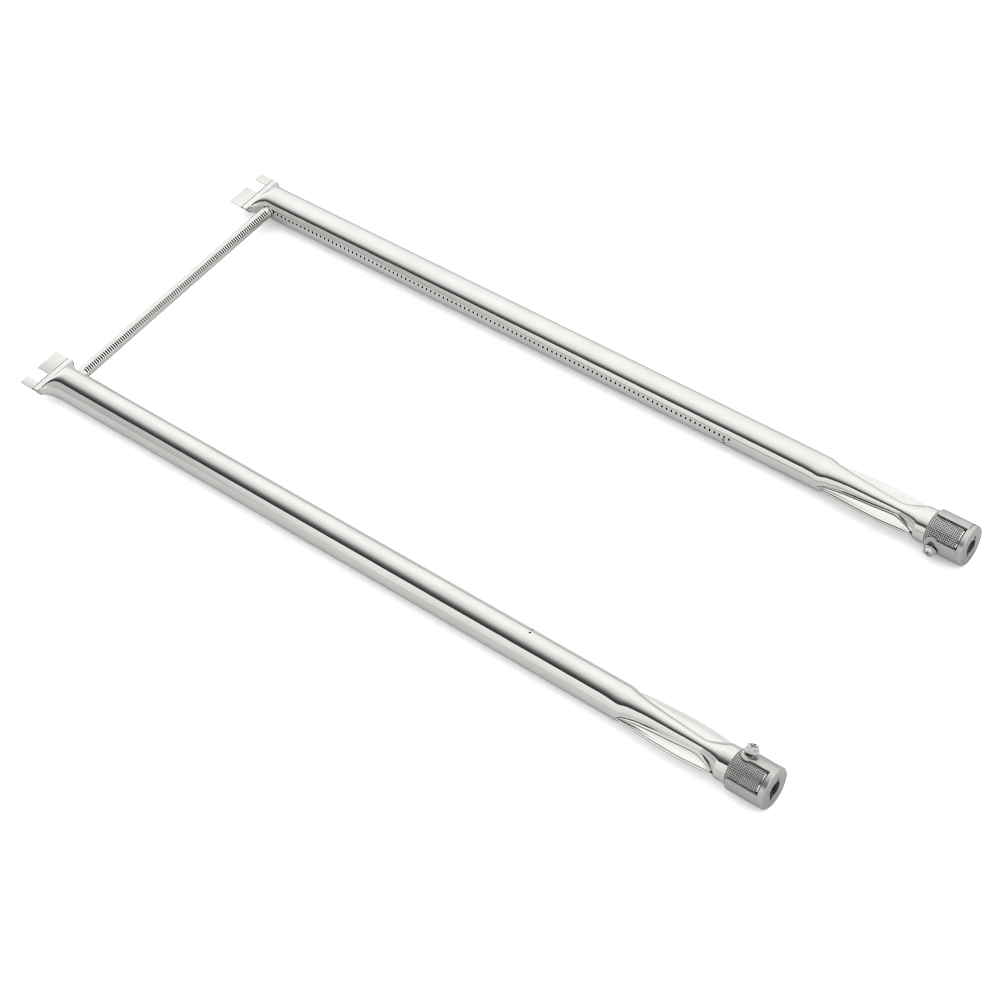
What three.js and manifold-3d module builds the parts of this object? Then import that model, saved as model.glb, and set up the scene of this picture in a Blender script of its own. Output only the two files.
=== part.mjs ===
// Gas grill burner set: two tube burners with side ports, joined at the rear by a slotted crossover
// tube. Each burner ends in a venturi, a wire screen and a turning air shutter held by one screw.
// Millimetres. X runs along the burners to the air shutters, Y across from left to right, Z up.
import * as THREE from "three";
import { mergeVertices } from "three/addons/utils/BufferGeometryUtils.js";
import Module from "manifold-3d";

const wasm = await Module();
wasm.setup();

// ---- driving dimensions; stations along X are counted from the crossover's axis ----
const tubeRadius = 12.7;
const tubeWall = 0.9;
const tubeGirth = 2 * Math.PI * tubeRadius;
const burnerSpacing = 234.8;
const tubeSides = 24;

const rearEnd = -21.3; // rear edge of the flattened tube, where the tabs leave it
const pinchEnd = -15.5; // where the flattened end starts to open
const roundStart = 3; // first fully round station
const pinchHalfHeight = 1.2;
const openingStages = [0, 0.08, 0.2, 0.4, 0.65, 1]; // sections between the pinch and the round
const openingPower = 2.6; // the tube opens steeply first, then levels off

// Venturi: station, half height and half width of the hollow round, half width over the wings.
const venturi = [
  [504, 12.7, 12.7, 12.7],
  [514, 12.2, 12.0, 13.1],
  [523, 11.5, 10.7, 13.8],
  [539, 10.1, 8.5, 14.8],
  [558, 8.5, 7.0, 15.5],
  [573, 7.3, 5.9, 15.4],
  [579, 7.8, 6.4, 15.0],
  [587, 10.3, 9.2, 14.2],
  [594, 12.4, 12.2, 13.0],
  [598, 12.7, 12.7, 12.7],
];
const wingHalfThickness = 1.3;
const wingBand = 0.2; // sine of the angle up to which a section's points lie on the wing's edge
const rootBand = 0.45; // and up to which they lie along the wing's root
const tubeFront = 626.7;

const tabLength = 12.8;
const tabThickness = 1.1;
const tabOverlap = 3; // how far the tabs run into the flattened end
const largeTab = { inner: 19.0, outer: -1.0 }; // across the tube, towards the other burner positive
const smallTab = { inner: -11.3, outer: -19.3 };

const portRadius = 1.0;
const portSides = 4;
const portPitch = 4.147;
const portFirst = 8.4;
const portCount = 106;
const portAngle = 15; // above the horizontal, on the side that faces the other burner

const crossRadius = 4.76;
const crossWall = 0.75;
const crossInset = 6.5; // its ends stop this far short of each burner's axis
const crossSides = 12;
const crossHole = { from: 5, to: 30 }; // the cut for it, from and to these distances off the axis
const slotPitch = 2.034;
const slotCount = 101;
const slotWidth = 1.0;
const slotHalfSpan = 1.15;
const slotAngle = 48; // from +X towards +Z
const slotCutDepth = 4;

const runningGap = 0.3;
const screenThickness = 0.6;
const screenInner = tubeRadius + runningGap;
const screenOuter = screenInner + screenThickness;
const screenRear = 602.3;
const screenFront = 625.7;

const shutterThickness = 1.0;
const shutterInner = screenOuter + runningGap;
const shutterOuter = shutterInner + shutterThickness;
const shutterFace = 632.2;
const faceThickness = 1.0;
const cupRear = 629;
const cupEdge = 1.6; // rounded rim of the cup
const cupEdgeMiddle = 0.3 * cupEdge; // the rim's middle point lies this far in from both faces
const fingerOverlap = 1; // the fingers run this far into the cup
const fingerRear = 604.3;
const fingerHalfWidth = 6.3;
const fingerCorner = 2.0;
const fingerCount = 3;
const eyeStation = 610;
const eyeHalfLength = 7.7; // round the tube
const eyeHalfWidth = 5.2; // along the tube
const eyeSlotHalfLength = 4.9;
const eyeSlotHalfWidth = 2.1;
const shutterSides = 36;

const orificeRadius = 5.6;
const orificeLobeRadius = 1.6;
const orificeLobeReach = 5.7;
const orificeLobeAngle = 50;
const orificeSides = 24;

const windowSpan = 40; // degrees round the tube
const windowOffset = 86; // from each finger, degrees
const windowRear = 605.5;
const windowFront = 621;
const windowCutDepth = 8;

const screwShankRadius = 1.7;
const screwHoleRadius = 2.0;
const wallCut = { from: 10, to: 15 }; // small holes are cut between these distances off the axis
const screenCut = { from: 11, to: 16 };
const roundSides = 12; // small round parts and holes
const screwTip = 9.8; // distance of its end from the tube's axis
const flangeRadius = 4.9;
const flangeThickness = 0.9;
const flangeSides = 24;
const hexAcrossFlats = 7.0;
const hexHeight = 2.9;
const headOverlap = 0.2; // how far the head's parts run into each other
const driveSlotWidth = 1.2;
const driveSlotDepth = 1.2;

const frontMost = shutterFace;
const rearMost = rearEnd - tabLength;
const axisHeight = shutterOuter;

// Each burner's own features, as angles round its axis from +Y towards +Z.
const burners = [
  {
    side: "left",
    y: -burnerSpacing / 2,
    inward: 1,
    fingerAngle: 60,
    screwAngle: 62,
    screwLift: 2.0, // the head stands this far off the shutter, which is left free to turn
    pinHoles: [{ x: 435.8, angle: 70 }, { x: 434.3, angle: 46.5 }],
  },
  {
    side: "right",
    y: burnerSpacing / 2,
    inward: -1,
    fingerAngle: 180,
    screwAngle: 190,
    screwLift: 0.6,
    pinHoles: [{ x: 439.1, angle: 177.5 }, { x: 439.6, angle: 190.5 }],
  },
];
const pinHoleRadius = 0.6;
const pinHoleSides = 4;

const radians = THREE.MathUtils.degToRad;

// ---- solids ----
function toSolid(geometry) {
  const bare = geometry.index ? geometry.toNonIndexed() : geometry.clone();
  bare.deleteAttribute("normal");
  bare.deleteAttribute("uv");
  const merged = mergeVertices(bare, 1e-4);
  const mesh = new wasm.Mesh({
    numProp: 3,
    vertProperties: new Float32Array(merged.attributes.position.array),
    triVerts: new Uint32Array(merged.index.array),
  });
  return new wasm.Manifold(mesh);
}

function toMesh(name, solid, look) {
  const result = solid.getMesh();
  const geometry = new THREE.BufferGeometry();
  geometry.setAttribute("position", new THREE.BufferAttribute(result.vertProperties, 3));
  geometry.setIndex(new THREE.BufferAttribute(result.triVerts, 1));
  geometry.computeVertexNormals();
  const mesh = new THREE.Mesh(geometry, new THREE.MeshStandardMaterial(look));
  mesh.name = name;
  return mesh;
}

// A round bar whose axis leaves the tube's axis radially at an angle, at station x.
function radialBar(radius, from, to, x, angle, sides) {
  const bar = new THREE.CylinderGeometry(radius, radius, to - from, sides);
  bar.translate(0, (from + to) / 2, 0);
  bar.rotateX(radians(angle));
  bar.translate(x, 0, 0);
  return toSolid(bar);
}

// A lathe profile of [radius, x] points, turned about the X axis.
function latheAlongX(profile, sides) {
  const lathe = new THREE.LatheGeometry(profile.map(([r, x]) => new THREE.Vector2(r, x)), sides);
  lathe.rotateZ(-Math.PI / 2);
  return toSolid(lathe);
}

// ---- burner tube: sections of one girth, lofted along X ----
// The rear is pinched to a flat oblong, so its straight runs grow as its height falls.
function rearSection(halfHeight) {
  const straight = (tubeGirth - 2 * Math.PI * halfHeight) / 4;
  return (angle) => {
    const across = Math.cos(angle);
    return [Math.sign(across) * straight + halfHeight * across, halfHeight * Math.sin(angle)];
  };
}

// The venturi is a smaller round with a flat wing pressed out of each side.
function throatSection(height, width, wingTip) {
  const root = width * Math.sqrt(Math.max(0, 1 - (wingHalfThickness / height) ** 2));
  const winged = wingTip > width;
  return (angle) => {
    const across = Math.cos(angle);
    const up = Math.sin(angle);
    if (!winged || Math.abs(up) > rootBand) {
      return [width * across, height * up];
    }
    const reach = Math.abs(up) < wingBand ? wingTip : root;
    return [Math.sign(across) * reach, Math.sign(up) * wingHalfThickness];
  };
}

function ringAt(x, section, inset) {
  const points = [];
  for (let i = 0; i < tubeSides; i += 1) {
    const [y, z] = section(((i + 0.5) * 2 * Math.PI) / tubeSides);
    points.push(new THREE.Vector2(y, z));
  }
  return points.map((point, i) => {
    const before = points[(i + tubeSides - 1) % tubeSides];
    const after = points[(i + 1) % tubeSides];
    const first = new THREE.Vector2(point.y - before.y, before.x - point.x).normalize();
    const second = new THREE.Vector2(after.y - point.y, point.x - after.x).normalize();
    const mitre = inset / (1 + first.dot(second));
    return [x, point.x - (first.x + second.x) * mitre, point.y - (first.y + second.y) * mitre];
  });
}

function loft(rings) {
  const positions = rings.flat(2);
  const middle = (ring) => [0, 1, 2].map((k) => ring.reduce((sum, p) => sum + p[k], 0) / ring.length);
  positions.push(...middle(rings[0]), ...middle(rings[rings.length - 1]));
  const firstCentre = rings.length * tubeSides;
  const faces = [];
  for (let i = 0; i < tubeSides; i += 1) {
    const next = (i + 1) % tubeSides;
    faces.push(firstCentre, next, i);
    const last = (rings.length - 1) * tubeSides;
    faces.push(firstCentre + 1, last + i, last + next);
    for (let row = 0; row < rings.length - 1; row += 1) {
      const a = row * tubeSides;
      const b = a + tubeSides;
      faces.push(a + i, a + next, b + next, a + i, b + next, b + i);
    }
  }
  const geometry = new THREE.BufferGeometry();
  geometry.setAttribute("position", new THREE.Float32BufferAttribute(positions, 3));
  geometry.setIndex(faces);
  return geometry;
}

function tubeStations() {
  const stations = [];
  for (const t of openingStages) {
    const opened = 1 - (1 - t) ** openingPower;
    const halfHeight = THREE.MathUtils.lerp(pinchHalfHeight, tubeRadius, opened);
    stations.push([THREE.MathUtils.lerp(pinchEnd, roundStart, t), rearSection(halfHeight)]);
  }
  for (const [x, height, width, wingTip] of venturi) {
    stations.push([x, throatSection(height, width, wingTip)]);
  }
  stations.push([tubeFront, throatSection(tubeRadius, tubeRadius, tubeRadius)]);
  return stations;
}

function tab({ inner, outer }, inward) {
  const length = tabLength + tabOverlap;
  const box = new THREE.BoxGeometry(length, inner - outer, tabThickness);
  box.translate(rearMost + length / 2, (inward * (inner + outer)) / 2, 0);
  return toSolid(box);
}

function burnerTube(burner) {
  const stations = tubeStations();
  const outside = stations.map(([x, section]) => ringAt(x, section, 0));
  const inside = stations.map(([x, section]) => ringAt(x, section, tubeWall)).reverse();
  const pinched = ringAt(rearEnd, rearSection(pinchHalfHeight), 0);
  let solid = toSolid(loft([pinched, ...outside, ...inside]));
  solid = solid.add(tab(largeTab, burner.inward)).add(tab(smallTab, burner.inward));

  const facing = burner.inward > 0 ? 0 : 180;
  const { from, to } = wallCut;
  const cuts = [
    radialBar(crossRadius + runningGap, crossHole.from, crossHole.to, 0, facing, crossSides),
    radialBar(screwHoleRadius, from, to, eyeStation, burner.screwAngle, roundSides),
  ];
  for (let i = 0; i < portCount; i += 1) {
    const angle = facing + burner.inward * portAngle;
    cuts.push(radialBar(portRadius, from, to, portFirst + i * portPitch, angle, portSides));
  }
  for (const hole of burner.pinHoles) {
    cuts.push(radialBar(pinHoleRadius, from, to, hole.x, hole.angle, pinHoleSides));
  }
  for (let i = 0; i < fingerCount; i += 1) {
    const angle = burner.fingerAngle + windowOffset + (i * 360) / fingerCount;
    const width = 2 * tubeRadius * Math.sin(radians(windowSpan / 2));
    const opening = new THREE.BoxGeometry(windowFront - windowRear, windowCutDepth, width);
    opening.translate((windowRear + windowFront) / 2, tubeRadius, 0);
    opening.rotateX(radians(angle));
    cuts.push(toSolid(opening));
  }
  return solid.subtract(wasm.Manifold.union(cuts));
}

// ---- crossover tube: open at both ends, slotted along its upper front side ----
function crossoverTube() {
  const half = burnerSpacing / 2 - crossInset;
  const bore = crossRadius - crossWall;
  const profile = [
    [crossRadius, -half],
    [crossRadius, half],
    [bore, half],
    [bore, -half],
    [crossRadius, -half],
  ];
  const sleeve = new THREE.LatheGeometry(profile.map(([r, y]) => new THREE.Vector2(r, y)), crossSides);
  // One flat of the sleeve faces the slots.
  sleeve.rotateY(radians(180 / crossSides - slotAngle));
  const cuts = [];
  for (let i = 0; i < slotCount; i += 1) {
    const slot = new THREE.BoxGeometry(slotCutDepth, slotWidth, 2 * slotHalfSpan);
    slot.translate(crossRadius, (i - (slotCount - 1) / 2) * slotPitch, 0);
    slot.rotateY(-radians(slotAngle));
    cuts.push(toSolid(slot));
  }
  return toSolid(sleeve).subtract(wasm.Manifold.union(cuts));
}

// ---- wire screen: a plain sleeve here, with a hole that the screw passes through ----
function spiderScreen(burner) {
  const sleeve = latheAlongX([
    [screenInner, screenFront],
    [screenInner, screenRear],
    [screenOuter, screenRear],
    [screenOuter, screenFront],
    [screenInner, screenFront],
  ], tubeSides);
  const { from, to } = screenCut;
  return sleeve.subtract(radialBar(screwHoleRadius, from, to, eyeStation, burner.screwAngle, roundSides));
}

// ---- air shutter: a drawn cup whose three fingers run back over the screen ----
function fingerOutline(withEye) {
  const outline = new THREE.Shape();
  const corner = fingerCorner;
  const start = withEye ? eyeStation : fingerRear;
  outline.moveTo(cupRear + fingerOverlap, -fingerHalfWidth);
  outline.lineTo(cupRear + fingerOverlap, fingerHalfWidth);
  if (withEye) {
    const side = eyeHalfLength - eyeHalfWidth;
    const meet = Math.acos((fingerHalfWidth - side) / eyeHalfWidth);
    outline.lineTo(start + eyeHalfWidth * Math.sin(meet), fingerHalfWidth);
    outline.absarc(start, side, eyeHalfWidth, Math.PI / 2 - meet, Math.PI, false);
    outline.absarc(start, -side, eyeHalfWidth, Math.PI, 1.5 * Math.PI + meet, false);
    const slot = new THREE.Path();
    const slotSide = eyeSlotHalfLength - eyeSlotHalfWidth;
    slot.absarc(start, slotSide, eyeSlotHalfWidth, 0, Math.PI, false);
    slot.absarc(start, -slotSide, eyeSlotHalfWidth, Math.PI, 2 * Math.PI, false);
    outline.holes.push(slot);
  } else {
    outline.lineTo(start + corner, fingerHalfWidth);
    outline.absarc(start + corner, fingerHalfWidth - corner, corner, Math.PI / 2, Math.PI, false);
    outline.absarc(start + corner, corner - fingerHalfWidth, corner, Math.PI, 1.5 * Math.PI, false);
  }
  return outline;
}

// A round hole in the cup's face with a small lobe on each of two opposite sides.
function orificeHole() {
  const bar = (radius, reach, sides) => {
    const shape = new THREE.CylinderGeometry(radius, radius, 6 * faceThickness, sides);
    shape.rotateZ(Math.PI / 2);
    shape.translate(shutterFace, 0, reach);
    shape.rotateX(radians(orificeLobeAngle - 90));
    return toSolid(shape);
  };
  return wasm.Manifold.union([
    bar(orificeRadius, 0, orificeSides),
    bar(orificeLobeRadius, orificeLobeReach, roundSides),
    bar(orificeLobeRadius, -orificeLobeReach, roundSides),
  ]);
}

function airShutter(burner) {
  const cup = latheAlongX([
    [0, shutterFace],
    [shutterOuter - cupEdge, shutterFace],
    [shutterOuter - cupEdgeMiddle, shutterFace - cupEdgeMiddle],
    [shutterOuter, shutterFace - cupEdge],
    [shutterOuter, cupRear],
    [shutterInner, cupRear],
    [shutterInner, shutterFace - faceThickness],
    [0, shutterFace - faceThickness],
  ].reverse(), shutterSides);
  const sleeve = latheAlongX([
    [shutterInner, cupRear + fingerOverlap],
    [shutterInner, fingerRear - fingerOverlap],
    [shutterOuter, fingerRear - fingerOverlap],
    [shutterOuter, cupRear + fingerOverlap],
    [shutterInner, cupRear + fingerOverlap],
  ], shutterSides);
  let solid = cup.subtract(orificeHole());
  for (let i = 0; i < fingerCount; i += 1) {
    const prism = new THREE.ExtrudeGeometry(fingerOutline(i === 0), {
      depth: shutterOuter + runningGap,
      bevelEnabled: false,
      curveSegments: 6,
    });
    const angle = burner.fingerAngle + (i * 360) / fingerCount;
    prism.rotateX(radians(angle - 90));
    solid = solid.add(sleeve.intersect(toSolid(prism)));
  }
  return solid;
}

// ---- shutter screw: hex washer head with a driving slot, threaded into the tube's wall ----
function shutterScrew(burner) {
  const seat = shutterOuter + burner.screwLift;
  const hexBase = seat + flangeThickness;
  const top = hexBase + hexHeight;
  const { screwAngle: angle } = burner;
  const hexRadius = hexAcrossFlats / 2 / Math.cos(Math.PI / 6);
  const head = radialBar(hexRadius, hexBase - headOverlap, top, eyeStation, angle, 6);
  const flange = radialBar(flangeRadius, seat, hexBase, eyeStation, angle, flangeSides);
  const shank = radialBar(screwShankRadius, screwTip, seat + headOverlap, eyeStation, angle, roundSides);
  const slot = new THREE.BoxGeometry(2 * flangeRadius, driveSlotDepth * 2, driveSlotWidth);
  slot.translate(0, top, 0);
  slot.rotateX(radians(angle));
  slot.translate(eyeStation, 0, 0);
  return shank.add(flange).add(head).subtract(toSolid(slot));
}

// ---- assembly ----
const steel = { color: 0xd2d0cb, roughness: 0.3, metalness: 1 };
const dullSteel = { color: 0xa9a9a6, roughness: 0.45, metalness: 1 };
const meshSteel = { color: 0x8b8c88, roughness: 0.5, metalness: 1 };
const zincSteel = { color: 0xc9c8c4, roughness: 0.35, metalness: 1 };

const set = new THREE.Group();
set.position.set(-(frontMost + rearMost) / 2, 0, axisHeight);

for (const burner of burners) {
  const assembly = new THREE.Group();
  assembly.position.y = burner.y;
  assembly.add(toMesh(`${burner.side}_burner_tube`, burnerTube(burner), steel));
  assembly.add(toMesh(`${burner.side}_spider_screen`, spiderScreen(burner), meshSteel));
  assembly.add(toMesh(`${burner.side}_air_shutter`, airShutter(burner), dullSteel));
  assembly.add(toMesh(`${burner.side}_shutter_screw`, shutterScrew(burner), zincSteel));
  set.add(assembly);
}
set.add(toMesh("crossover_tube", crossoverTube(), steel));

export default set;
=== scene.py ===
import math

import bmesh
import bpy
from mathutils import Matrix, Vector


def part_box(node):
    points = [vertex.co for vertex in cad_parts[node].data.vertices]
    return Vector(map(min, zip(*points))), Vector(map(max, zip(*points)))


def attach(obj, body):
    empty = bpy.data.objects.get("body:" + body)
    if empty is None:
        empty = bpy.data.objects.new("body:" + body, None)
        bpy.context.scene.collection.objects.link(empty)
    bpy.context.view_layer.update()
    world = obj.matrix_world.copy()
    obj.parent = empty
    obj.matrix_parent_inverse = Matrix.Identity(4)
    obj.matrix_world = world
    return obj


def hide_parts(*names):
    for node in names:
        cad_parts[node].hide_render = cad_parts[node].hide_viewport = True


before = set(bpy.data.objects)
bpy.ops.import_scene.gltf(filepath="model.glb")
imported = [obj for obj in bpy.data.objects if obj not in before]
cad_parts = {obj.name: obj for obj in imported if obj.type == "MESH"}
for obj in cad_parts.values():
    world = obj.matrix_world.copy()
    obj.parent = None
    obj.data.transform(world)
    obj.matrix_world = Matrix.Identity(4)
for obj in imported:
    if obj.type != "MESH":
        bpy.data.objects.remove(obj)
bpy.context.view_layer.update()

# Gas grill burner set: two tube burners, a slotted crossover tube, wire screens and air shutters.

MM = 0.001

# ---- places and sizes, in millimetres and degrees; the places are taken from the model's parts ----
# X runs along the burners to the air shutters. Stations are counted along X from the crossover's
# axis, and angles round a burner run from +Y towards +Z. A tube's own section is built with the
# other burner on its +Y side, and settle() mirrors it for the right burner.


def corners(node):
    """The lowest and highest corners of a CAD node, in millimetres."""
    low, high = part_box(node)
    return low / MM, high / MM


def middle(node):
    low, high = corners(node)
    return (low + high) / 2


CROSS_LOW, CROSS_HIGH = corners("crossover_tube")
CROSS = middle("crossover_tube")
CROSS_X = CROSS.x
AXIS_Z = CROSS.z
REAR_TAB_X = corners("left_burner_tube")[0].x
TUBE_FRONT_X = corners("left_burner_tube")[1].x
SCREEN_LOW, SCREEN_HIGH = corners("left_spider_screen")
SHUTTER_LOW, SHUTTER_HIGH = corners("left_air_shutter")
SCREW_X = middle("left_shutter_screw").x

TUBE_R = 12.7
TUBE_WALL = 0.9
GIRTH = 2 * math.pi * TUBE_R

# The pinched rear end is flat from REAR_X to PINCH_X, and the tube is fully round from ROUND_X.
REAR_X = CROSS_X - 21.3
PINCH_X = CROSS_X - 15.5
ROUND_X = CROSS_X + 3
PINCH_HALF = 1.15
OPENING_POWER = 2.6  # the section opens steeply first, then levels off
GROOVES = (CROSS_X - 20.3, PINCH_X)  # fine lines across the pinched end
GROOVE_HALF = 0.25
GROOVE_DEPTH = 0.3
FOLD_AHEAD = 1.8  # the folded sides bulge most this far in front of the pinch
FOLD_REACH = 3.2
FOLD_RISE = 2.8
FOLD_POWER = 6  # the higher it is, the closer the bulge keeps to the section's sides

# Rear tabs: from and to across the tube, positive towards the other burner.
LARGE_TAB = (19.0, -1.0)
SMALL_TAB = (-11.3, -19.1)
TAB_HALF = 0.5
TAB_CORNER = 0.8
TAB_OVERLAP = 2  # how far a tab runs into the pinched end
TAB_BEVEL = 0.15

# The pressed wings grow between START and FULL, and shrink again between FADE and END.
WING_START = 514
WING_FULL = 523
WING_FADE = 592
WING_END = 595
WING_HALF = 1.0
WING_GROWN = 5.5  # a wing that stands out this far has its full thickness
WING_LEAST = 0.3
RAMP_RISE = 1.05
SWELL = 0.7  # how far the plain section leans out towards a wing that hasn't formed yet
# The section's columns slide round to where the wings need them, and back after the wings end.
SLIDE_START = 452
SLIDE_FULL = 500
SLIDE_END = 602

# Venturi: station, half height and half width of the hollow round, half width over the wings.
VENTURI = [
    (497, 12.7, 12.7, 12.7), (504, 12.7, 12.7, 12.7), (510, 12.38, 12.45, 12.85), (516, 11.95, 11.8, 13.3),
    (523, 11.4, 10.7, 13.8), (531, 10.7, 9.4, 14.4), (539, 10.1, 8.5, 14.8), (549, 9.2, 7.6, 15.3),
    (558, 8.5, 7.0, 15.5), (566, 7.85, 6.3, 15.6), (573, 7.3, 5.8, 15.4), (576, 7.2, 5.8, 15.2),
    (579, 7.7, 6.3, 14.9), (583, 8.9, 7.7, 14.6), (587, 10.3, 9.2, 14.2), (591, 11.6, 11.0, 13.5),
    (594, 12.4, 12.2, 12.95), (597, 12.7, 12.7, 12.7), (602, 12.7, 12.7, 12.7),
]

PORT_PITCH = 4.147
PORT_FIRST = CROSS_X + 8.4
PORT_COUNT = 106
PORT_ALONG = 0.8
PORT_AROUND = 1.15
PORT_ANGLE = 15
PORT_CELL = (9, 21)  # the angles between which the mesh makes room for a port

# Lengths of the mesh's steps along the burner.
REAR_STEP = 0.8
PLAIN_STEP = 5
VENTURI_STEP = 0.9
FRONT_STEP = 1
SCREEN_STEP = 4

CROSS_R = 4.76
CROSS_WALL = 0.75
CROSS_STEP = 2.0
SLOT_PITCH = 2.034
SLOT_COUNT = 101
SLOT_WIDTH = 1.05
SLOT_ANGLE = 48  # from +X towards +Z
SLOT_TURNS = (-22, -11, 0, 11, 22)  # the columns across a slot, counted from its angle
PLAIN_COLUMNS = 38  # steps round the rest of the tube

# Holes in the burner tube.
CROSS_HOLE_R = CROSS_R + 0.3
DISH_DEPTH = 1.2
DISH_R = 5.0
DISH_BLEND = 3.6
SCREW_HOLE_R = 1.9
PIN_HOLE_R = 0.85
WINDOW_STATION = 613.2
WINDOW_HALF_ALONG = 7.7
WINDOW_HALF_ROUND = 4.3
WINDOW_TURN = 86  # from each of the shutter's fingers
WINDOW_CUT = (9, 16)  # from and to these distances off the axis

SCREEN_R = 13.3
WIRE_R = 0.25
WIRE_LIFT = 0.05
WIRES_ROUND = 60
WIRE_PITCH = 1.37
WIRE_SHARP_ANGLE = 120  # a wire is shaded round

SHUTTER_R = 14.9
SHUTTER_BORE = 13.9
SHUTTER_SIDES = 144
SHUTTER_BEVEL = 0.16
FACE_X = SHUTTER_HIGH.x
FACE_WALL = 1.0
FACE_FILLET = 0.4
CUP_EDGE = 1.7
CUP_DEPTH = 4.0
CUP_REAR_X = FACE_X - CUP_DEPTH
FINGER_COUNT = 3
FINGER_TURN = 360 / FINGER_COUNT
FINGER_HALF = 6.3
FINGER_REAR = SHUTTER_LOW.x
FINGER_CORNER = 2.0
FINGER_OVERLAP = 1  # how far the fingers run into the cup
FINGER_SPARE = 3  # the sleeve that the fingers are cut from is this much longer
EYE_HALF_ROUND = 7.7
EYE_HALF_ALONG = 5.2
EYE_SLOT_ROUND = 4.9
EYE_SLOT_ALONG = 2.1
ORIFICE_R = 5.6
LOBE_R = 1.7
LOBE_REACH = 6.3
LOBE_LEAN = 50
ORIFICE_SIDES = 96
# The cutting tools reach from and to these distances off the axis, or off the cup's face.
FINGER_CUT = (5, 20)
EYE_SLOT_CUT = (4, 21)
ORIFICE_CUT = (-3, 3)
# A finger's cut edge, which gets painted shade, is centred this near the middle of the sheet, and this far
# behind the cup's face.
EDGE_BAND = 0.3
EDGE_BEHIND_FACE = 2

# Screw: heights over its seat, except that the shank's tip is measured from the tube's axis.
SHANK_TIP = 9.8
SHANK_R = 1.7
SHANK_CHAMFER = 0.5
WASHER = [(0, 4.7), (0.25, 4.9), (0.8, 4.75), (1.0, 3.9)]  # height, radius
HEX_HALF = 3.5
HEX_FOOT = 0.6
HEAD_HEIGHT = 3.8
DOME_DROP = 0.55
DOME_INSET = 0.75
DOME_SPARE = 0.1
RECESS_HALF_LENGTH = 2.6
RECESS_HALF_WIDTH = 0.6
RECESS_DEPTH = 1.2
HEX_BEVEL = 0.3
SCREW_BEVEL = 0.1
SCREW_SIDES = 48

# Each burner: which way the other one lies along Y, the angles of the finger with the eye and of the
# screw, how far the screw's head stands off the shutter, and the station and angle of each pin hole.
BURNERS = {
    "left": {
        "inward": 1,
        "finger": 60,
        "screw": 62,
        "lift": 2.0,
        "pins": [(435.8, 70), (434.3, 46.5)],
    },
    "right": {
        "inward": -1,
        "finger": 180,
        "screw": 190,
        "lift": 0.6,
        "pins": [(439.1, 177.5), (439.6, 190.5)],
    },
}


def lerp(a, b, t):
    return a + (b - a) * t


def ease(t):
    t = min(max(t, 0.0), 1.0)
    return t * t * (3 - 2 * t)


# ---- outlines ----
def circle_outline(radius, sides):
    turns = [2 * math.pi * k / sides for k in range(sides)]
    return [(radius * math.cos(a), radius * math.sin(a)) for a in turns]


def rectangle(half_u, half_v):
    return [(-half_u, -half_v), (half_u, -half_v), (half_u, half_v), (-half_u, half_v)]


def arc(centre, radius, start, end, steps):
    """Points along an arc, both ends included."""
    turns = [lerp(start, end, k / steps) for k in range(steps + 1)]
    return [(centre[0] + radius * math.cos(a), centre[1] + radius * math.sin(a)) for a in turns]


# ---- small mesh tools ----
SHARP_ANGLE = 32
BEVEL_ANGLE = 35


def new_object(name, mesh_data):
    piece = bpy.data.objects.new(name, mesh_data)
    bpy.context.scene.collection.objects.link(piece)
    return piece


def smooth(data, sharp=SHARP_ANGLE):
    """Shades a mesh smooth, but for its sharp edges."""
    data.shade_smooth()
    data.set_sharp_from_angle(angle=math.radians(sharp))


def from_bmesh(name, bm, sharp=SHARP_ANGLE):
    """A smooth-shaded object from a bmesh in millimetres."""
    bmesh.ops.recalc_face_normals(bm, faces=bm.faces)
    bmesh.ops.scale(bm, vec=(MM, MM, MM), verts=bm.verts)
    data = bpy.data.meshes.new(name)
    bm.to_mesh(data)
    bm.free()
    smooth(data, sharp)
    return new_object(name, data)


def apply_modifier(piece, kind, **settings):
    """Runs one modifier on a piece and keeps only its result."""
    modifier = piece.modifiers.new(kind, kind)
    for key, value in settings.items():
        setattr(modifier, key, value)
    graph = bpy.context.evaluated_depsgraph_get()
    result = bpy.data.meshes.new_from_object(piece.evaluated_get(graph))
    piece.modifiers.clear()
    piece.data = result


def boolean(piece, tool, operation):
    apply_modifier(piece, "BOOLEAN", object=tool, operation=operation, solver="EXACT")
    bpy.data.objects.remove(tool)


def round_edges(piece, width):
    """Rounds the piece's hard edges by a small width, in millimetres."""
    apply_modifier(
        piece, "BEVEL", width=width * MM, segments=2, limit_method="ANGLE",
        angle_limit=math.radians(BEVEL_ANGLE), harden_normals=False,
    )
    smooth(piece.data)


def thicken(piece, wall):
    """Gives a surface a wall on its inner side, with the inside and the cut edges in material slot 1."""
    apply_modifier(
        piece, "SOLIDIFY", thickness=wall * MM, offset=-1, use_even_offset=False,
        material_offset=1, material_offset_rim=1,
    )


def join_rings(bm, a, b):
    """Joins two closed rings of as many vertices with quads."""
    for i in range(len(a)):
        j = (i + 1) % len(a)
        bm.faces.new((a[i], a[j], b[j], b[i]))


def add_prism(bm, outline, placed, depth_from, depth_to):
    """Adds a closed prism of a 2D outline; placed turns (u, v, depth) into a point."""
    low = [bm.verts.new(placed(u, v, depth_from)) for u, v in outline]
    high = [bm.verts.new(placed(u, v, depth_to)) for u, v in outline]
    bm.faces.new(low[::-1])
    bm.faces.new(high)
    join_rings(bm, low, high)


def prism(outline, placed, depth_from, depth_to, name):
    bm = bmesh.new()
    add_prism(bm, outline, placed, depth_from, depth_to)
    return from_bmesh(name, bm)


def radial_frame(axis_y, angle, x):
    """Places u along X, v round the tube and depth away from the tube's axis."""
    turn = math.radians(angle)
    out = Vector((0, math.cos(turn), math.sin(turn)))
    side = Vector((0, math.sin(turn), -math.cos(turn)))
    base = Vector((x, axis_y, AXIS_Z))
    return lambda u, v, depth: base + Vector((u, 0, 0)) + side * v + out * depth


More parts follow.
